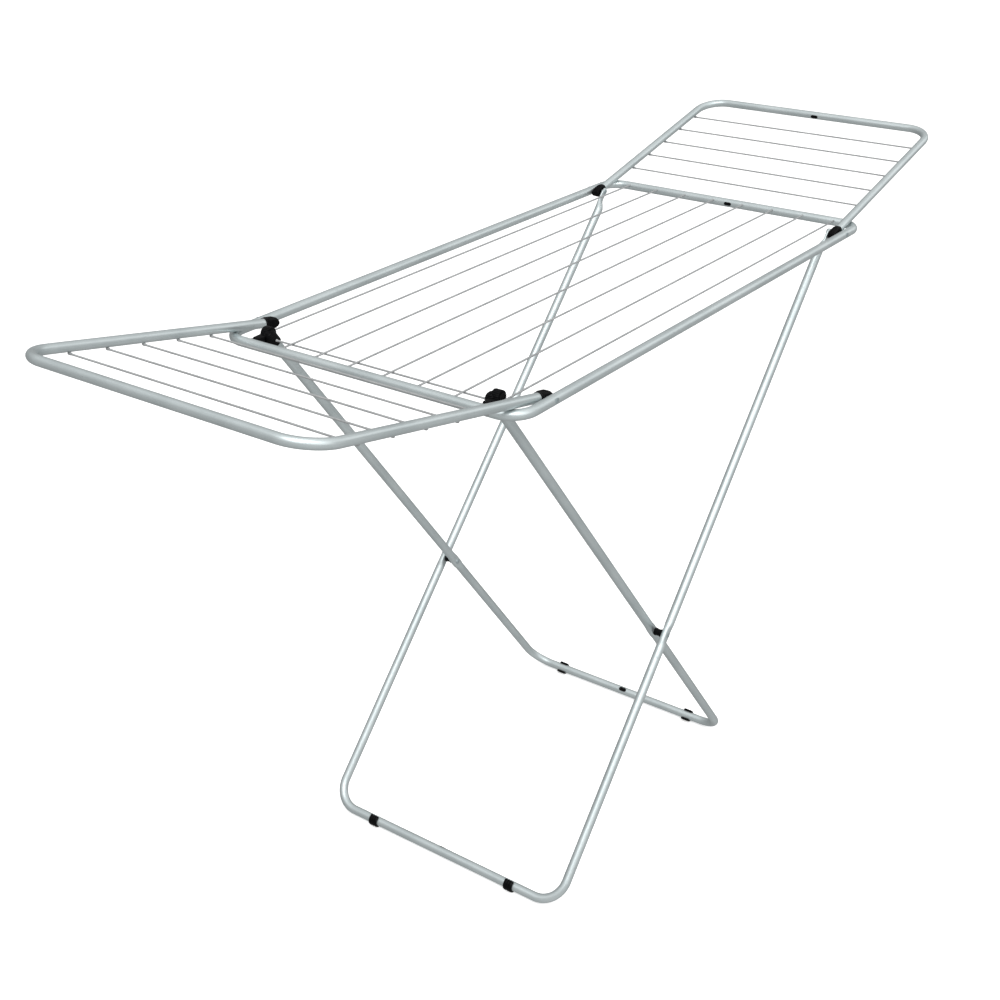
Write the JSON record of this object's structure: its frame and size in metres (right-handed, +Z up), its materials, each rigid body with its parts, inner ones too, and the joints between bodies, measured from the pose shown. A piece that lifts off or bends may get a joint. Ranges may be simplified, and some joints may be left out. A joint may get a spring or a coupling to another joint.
{
  "type": "clothes drying rack",
  "caption": "Folding winged clothes drying rack: silver tube frame with lengthwise wires, two tilted wire wings and crossed U-shaped legs with black plastic caps, hooks and feet.",
  "frame": {"origin": "on the floor, under the middle of the rack's box with both wings spread", "axes": "+X along the rack towards the right wing, on whose hinge pins the outer leg hangs; +Y across it, away from the near side; +Z up"},
  "size_m": [1.871, 0.5598, 1.079],
  "materials": {
    "silver_paint": "satin silver-grey metallic powder coat",
    "wire_coat": "light grey satin coat on drawn wire",
    "black_plastic": "black moulded plastic, satin",
    "rivet_steel": "bright zinc-plated rivet"
  },
  "bodies": {
    "centre_rack": {"centre_frame_tube": "silver_paint", "centre_wire_1": "wire_coat", "centre_wire_2": "wire_coat", "centre_wire_3": "wire_coat", "centre_wire_4": "wire_coat", "centre_wire_5": "wire_coat", "centre_wire_6": "wire_coat", "centre_wire_7": "wire_coat", "centre_wire_8": "wire_coat", "centre_tie_wire": "wire_coat", "left_end_plug": "black_plastic", "right_end_plug": "black_plastic", "left_hinge_pin_near": "rivet_steel", "left_hinge_pin_far": "rivet_steel", "right_hinge_pin_near": "rivet_steel", "right_hinge_pin_far": "rivet_steel"},
    "left_wing": {"left_wing_tube": "silver_paint", "left_wing_wire_1": "wire_coat", "left_wing_wire_2": "wire_coat", "left_wing_wire_3": "wire_coat", "left_wing_wire_4": "wire_coat", "left_wing_wire_5": "wire_coat", "left_wing_cap_near": "black_plastic", "left_wing_cap_far": "black_plastic", "left_wing_plug": "black_plastic"},
    "right_wing": {"right_wing_tube": "silver_paint", "right_wing_wire_1": "wire_coat", "right_wing_wire_2": "wire_coat", "right_wing_wire_3": "wire_coat", "right_wing_wire_4": "wire_coat", "right_wing_wire_5": "wire_coat", "right_wing_cap_near": "black_plastic", "right_wing_cap_far": "black_plastic", "right_wing_plug": "black_plastic"},
    "outer_leg": {"outer_leg_tube": "silver_paint", "outer_leg_foot_near": "black_plastic", "outer_leg_foot_far": "black_plastic", "outer_leg_plug": "black_plastic", "scissor_pin_near": "rivet_steel", "scissor_pin_far": "rivet_steel", "scissor_spacer_near": "black_plastic", "scissor_spacer_far": "black_plastic"},
    "inner_leg": {"inner_leg_tube": "silver_paint", "inner_leg_hook_near": "black_plastic", "inner_leg_hook_far": "black_plastic", "inner_leg_foot_near": "black_plastic", "inner_leg_foot_far": "black_plastic", "inner_leg_plug": "black_plastic"}
  },
  "joints": [
    {"name": "left_wing_hinge", "type": "hinge", "parent": "centre_rack", "child": "left_wing", "pos_m": [-0.46752, 0, 0.9687], "axis": [0, 1, 0], "range_deg": [0, 166.3]},
    {"name": "right_wing_hinge", "type": "hinge", "parent": "centre_rack", "child": "right_wing", "pos_m": [0.48448, 0, 0.9687], "axis": [0, -1, 0], "range_deg": [0, 164.8]},
    {"name": "outer_leg_hinge", "type": "hinge", "parent": "centre_rack", "child": "outer_leg", "pos_m": [0.48448, 0, 0.9687], "axis": [0, 1, 0], "range_deg": [0, 46.1]},
    {"name": "inner_leg_pivot", "type": "hinge", "parent": "outer_leg", "child": "inner_leg", "pos_m": [-0.05541, 0, 0.37802], "axis": [0, 1, 0], "range_deg": [0, 80.3]}
  ],
  "couplings": [
    {"joint": "inner_leg_pivot", "follows": "outer_leg_hinge", "ratio": 1.7408}
  ]
}
